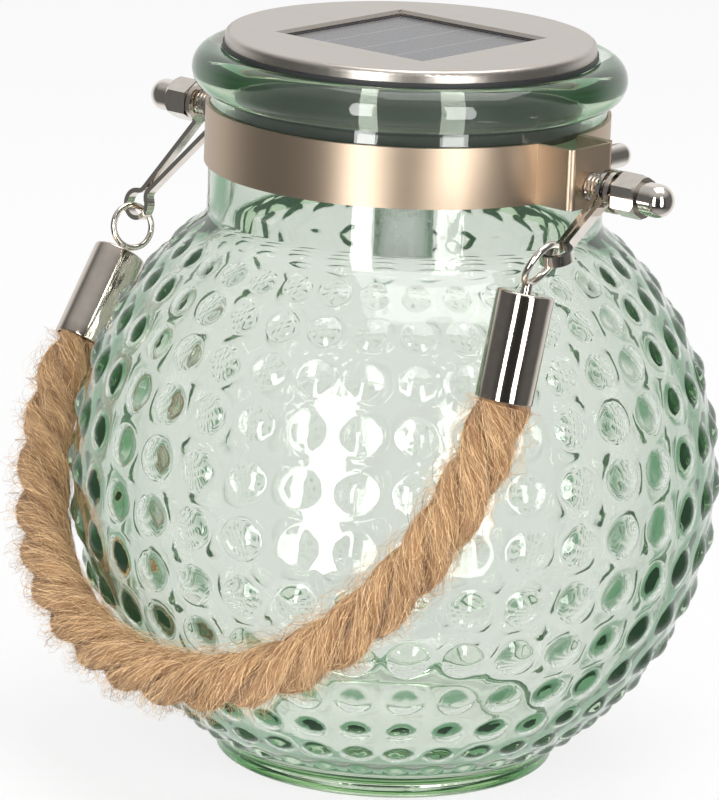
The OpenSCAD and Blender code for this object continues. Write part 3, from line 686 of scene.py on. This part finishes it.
# Switch slider: a small knob of white moulded plastic, which slides in the switch body under the lid.
# It turns the lamp on and off.
white, wire = finish_of("white_plastic")
grain = wire.noise(object_place(wire), 1500.0, 2.0)
paint(wire, {
    "Base Color": wire.tint(grain, (0.74, 0.74, 0.71, 1), (0.82, 0.82, 0.8, 1)),
    "Roughness": 0.4 + 0.15 * grain})
node_finish(white, "switch_slider")

# Lamp and light tube: clear plastic, faintly frosted so that it spreads the light. The tube hangs from
# the lid into the neck.
clear, wire = finish_of("clear_plastic")
frost = wire.noise(object_place(wire), 300.0, 3.0)
paint(wire, {
    "Base Color": (0.93, 0.94, 0.94, 1), "Roughness": 0.12 + 0.25 * frost, "IOR": 1.46,
    "Transmission Weight": 0.92})
node_finish(clear, "light_tube", "led")


# Floor: plain white paper with the jar's soft shadow on it. Glass and metal look past it at the room,
# which the world gives them.
def ray_kinds(wire):
    """Masks for what the camera sees at once, what shows in metal, and what shows through glass."""
    camera_ray = wire.node("ShaderNodeLightPath")
    kinds = camera_ray.socket.node.outputs
    return camera_ray, Wire(wire.tree, kinds["Is Glossy Ray"]), Wire(wire.tree, kinds["Is Transmission Ray"])


bpy.ops.object.select_all(action="DESELECT")
bpy.ops.mesh.primitive_plane_add(size=8, location=(0, 0, -0.0004))
floor = bpy.context.object
floor.name = "floor"
paper, wire = finish_of("white_paper")
camera_ray, glossy_ray, clear_ray = ray_kinds(wire)
white_paper = wire.node("ShaderNodeBsdfDiffuse", {}, {"Color": (0.82, 0.82, 0.82, 1)})
glow = wire.node("ShaderNodeEmission", {}, {"Strength": 1.0})
pale = wire.node("ShaderNodeMixShader", {}, {0: 1 - 0.78 * camera_ray, 1: glow, 2: white_paper})
unseen = wire.node("ShaderNodeBsdfTransparent")
surface(wire, wire.node("ShaderNodeMixShader", {}, {
    0: wire.math("MAXIMUM", glossy_ray, clear_ray), 1: pale, 2: unseen}))
floor.data.materials.append(paper)

# Studio: two tall strip lights beside the camera, a soft light overhead, and white behind the jar. Metal
# mirrors a dark room with pale walls, and glass shows white straight ahead and dark green beside it.
toward = Vector((math.sin(camera.rotation_euler.z), -math.cos(camera.rotation_euler.z), 0))
rightward = Vector((-toward.y, toward.x, 0))


def soft_light(name, place, aim, size, power):
    """A rectangular softbox."""
    lamp = bpy.data.lights.new(name, "AREA")
    lamp.shape = "RECTANGLE"
    lamp.size, lamp.size_y = size
    lamp.energy = power
    made = bpy.data.objects.new(name, lamp)
    made.location = place
    made.rotation_euler = (Vector(aim) - Vector(place)).to_track_quat("-Z", "Y").to_euler()
    scene.collection.objects.link(made)


middle = Vector((0, 0, 0.09))
strip_far = 1.15
strip_up = Vector((0, 0, 0.22))
strip_tall = 1.3
strip_power = 11.0
for name, angle, width in (("left_strip", -25, 0.23), ("right_strip", 26, 0.3)):
    a = math.radians(angle)
    spot = (toward * math.cos(a) + rightward * math.sin(a)) * strip_far + strip_up
    soft_light(name, spot, middle, (width, strip_tall), strip_power)
soft_light("overhead", (0.1, 0.15, 1.3), middle, (1.0, 1.0), 9.0)

world = bpy.data.worlds.new("studio")
scene.world = world
world.use_nodes = True
world.node_tree.nodes.clear()
wire = Wire(world.node_tree)
way = wire.node("ShaderNodeTexCoord", out=0)


def facing(aim):
    """How far the world's direction points the given way, from -1 to 1."""
    return wire.node("ShaderNodeVectorMath", {"operation": "DOT_PRODUCT"}, {0: way, 1: tuple(aim)}, 1)


tilt = math.radians(15)
ahead = facing(Vector((0, 0, -math.sin(tilt))) - toward * math.cos(tilt))
up = facing((0, 0, 1))
beside = wire.math("ABSOLUTE", facing(rightward))
camera_ray, glossy_ray, clear_ray = ray_kinds(wire)
room = 0.04 + 0.9 * wire.between(ahead, 0.2, 0.7) + 0.12 * wire.between(beside, 0.5, 0.95)
room = room + 0.6 * wire.between(up, 0.35, 0.85) + 0.45 * wire.between(-1 * up, 0.5, 0.95)
level = 0.62 * (1 - glossy_ray) + wire.math("MINIMUM", room, 1.0) * glossy_ray
level = wire.math("MAXIMUM", level, camera_ray)
far = 0.7 - 0.7 * wire.between(ahead, 0.15, 0.5)
open_side = wire.math("MAXIMUM", wire.between(ahead, 0.86, 0.965), wire.between(up, 0.0, 0.3))
through = wire.tint(wire.math("MAXIMUM", open_side, far), (0.18, 0.34, 0.22, 1), (0.8, 0.8, 0.8, 1))
shown = wire.tint(clear_ray, wire.node("ShaderNodeCombineColor", {}, {0: level, 1: level, 2: level}), through)
background = wire.node("ShaderNodeBackground", {}, {"Color": shown, "Strength": 1.0})
output = wire.tree.nodes.new("ShaderNodeOutputWorld")
wire.tree.links.new(background.socket, output.inputs["Surface"])
